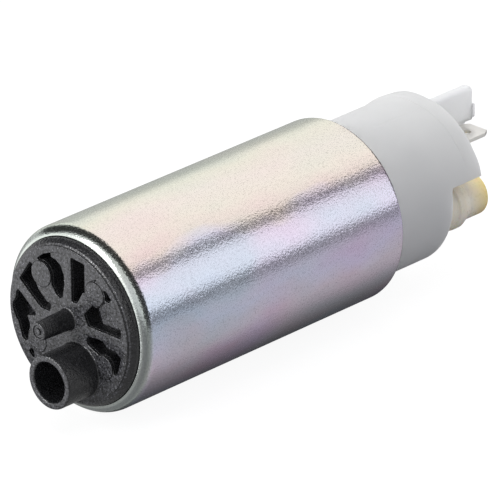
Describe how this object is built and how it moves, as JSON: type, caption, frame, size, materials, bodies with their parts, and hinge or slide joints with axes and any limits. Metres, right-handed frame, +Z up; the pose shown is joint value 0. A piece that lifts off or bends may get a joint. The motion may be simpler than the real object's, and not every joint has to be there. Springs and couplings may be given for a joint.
{
  "type": "electric fuel pump",
  "caption": "In-tank electric fuel pump: plated steel housing, dark inlet cover with suction tube and locating pin, pale outlet cover with tab terminals and outlet tube.",
  "frame": {"origin": "on the pump axis, half way along the steel housing, where a clamp or rubber sleeve holds it", "axes": "+Y along the pump axis from the inlet end to the outlet end, +Z up towards the crown that carries the terminals, +X to the side of the outlet tube"},
  "size_m": [0.038, 0.1217, 0.038],
  "materials": {
    "plated_steel": "zinc plated, iridescent satin",
    "black_plastic": "glass-filled, matte",
    "white_plastic": "natural, satin",
    "amber_nylon": "translucent",
    "tinned_brass": "tinned",
    "ground_steel": "ground",
    "core_steel": "laminated",
    "copper": "enamelled wire and bare bars",
    "ferrite": "sintered",
    "spring_steel": "drawn",
    "sintered_bronze": "sintered",
    "brass": "bare",
    "carbon": "pressed carbon",
    "pump_resin": "moulded phenolic",
    "valve_plastic": "moulded acetal",
    "seal_rubber": "moulded"
  },
  "bodies": {
    "pump_body": {"housing_shell": "plated_steel", "inlet_cover": "black_plastic", "outlet_cover": "white_plastic", "outlet_nozzle": "amber_nylon", "terminal_positive": "tinned_brass", "terminal_negative": "tinned_brass", "thrust_button": "ground_steel", "magnet_upper": "ferrite", "magnet_lower": "ferrite", "magnet_clip_right": "spring_steel", "magnet_clip_left": "spring_steel", "brush_spring_upper": "spring_steel", "brush_spring_lower": "spring_steel", "check_spring": "spring_steel", "relief_spring": "spring_steel", "inlet_bush": "sintered_bronze", "outlet_bush": "sintered_bronze", "brush_cap_upper": "brass", "brush_cap_lower": "brass", "relief_retainer": "brass", "pump_casing": "pump_resin", "check_retainer": "valve_plastic", "cover_seal": "seal_rubber"},
    "rotor": {"impeller": "pump_resin", "rotor_shaft": "ground_steel", "armature_core": "core_steel", "armature_windings": "copper", "commutator_hub": "pump_resin", "commutator_bars": "copper"},
    "brush_upper": {"brush_upper": "carbon"},
    "brush_lower": {"brush_lower": "carbon"},
    "check_valve": {"check_poppet": "valve_plastic"},
    "relief_valve": {"relief_ball": "ground_steel"}
  },
  "joints": [
    {"name": "rotor_spin", "type": "hinge", "parent": "pump_body", "child": "rotor", "pos_m": [0, 0, 0], "axis": [0, 1, 0], "continuous": true},
    {"name": "brush_upper_slide", "type": "slide", "parent": "pump_body", "child": "brush_upper", "axis": [0, 1, 0], "range_m": [0, 0.002], "stiffness_N_per_m": 80, "springref_m": -0.008, "deforming": ["brush_spring_upper"]},
    {"name": "brush_lower_slide", "type": "slide", "parent": "pump_body", "child": "brush_lower", "axis": [0, 1, 0], "range_m": [0, 0.002], "stiffness_N_per_m": 80, "springref_m": -0.008, "deforming": ["brush_spring_lower"]},
    {"name": "check_valve_lift", "type": "slide", "parent": "pump_body", "child": "check_valve", "axis": [0, 1, 0], "range_m": [0, 0.0016], "stiffness_N_per_m": 60, "springref_m": -0.003, "deforming": ["check_spring"]},
    {"name": "relief_valve_lift", "type": "slide", "parent": "pump_body", "child": "relief_valve", "axis": [0, 1, 0], "range_m": [0, 0.0008], "stiffness_N_per_m": 500, "springref_m": -0.002, "deforming": ["relief_spring"]}
  ]
}
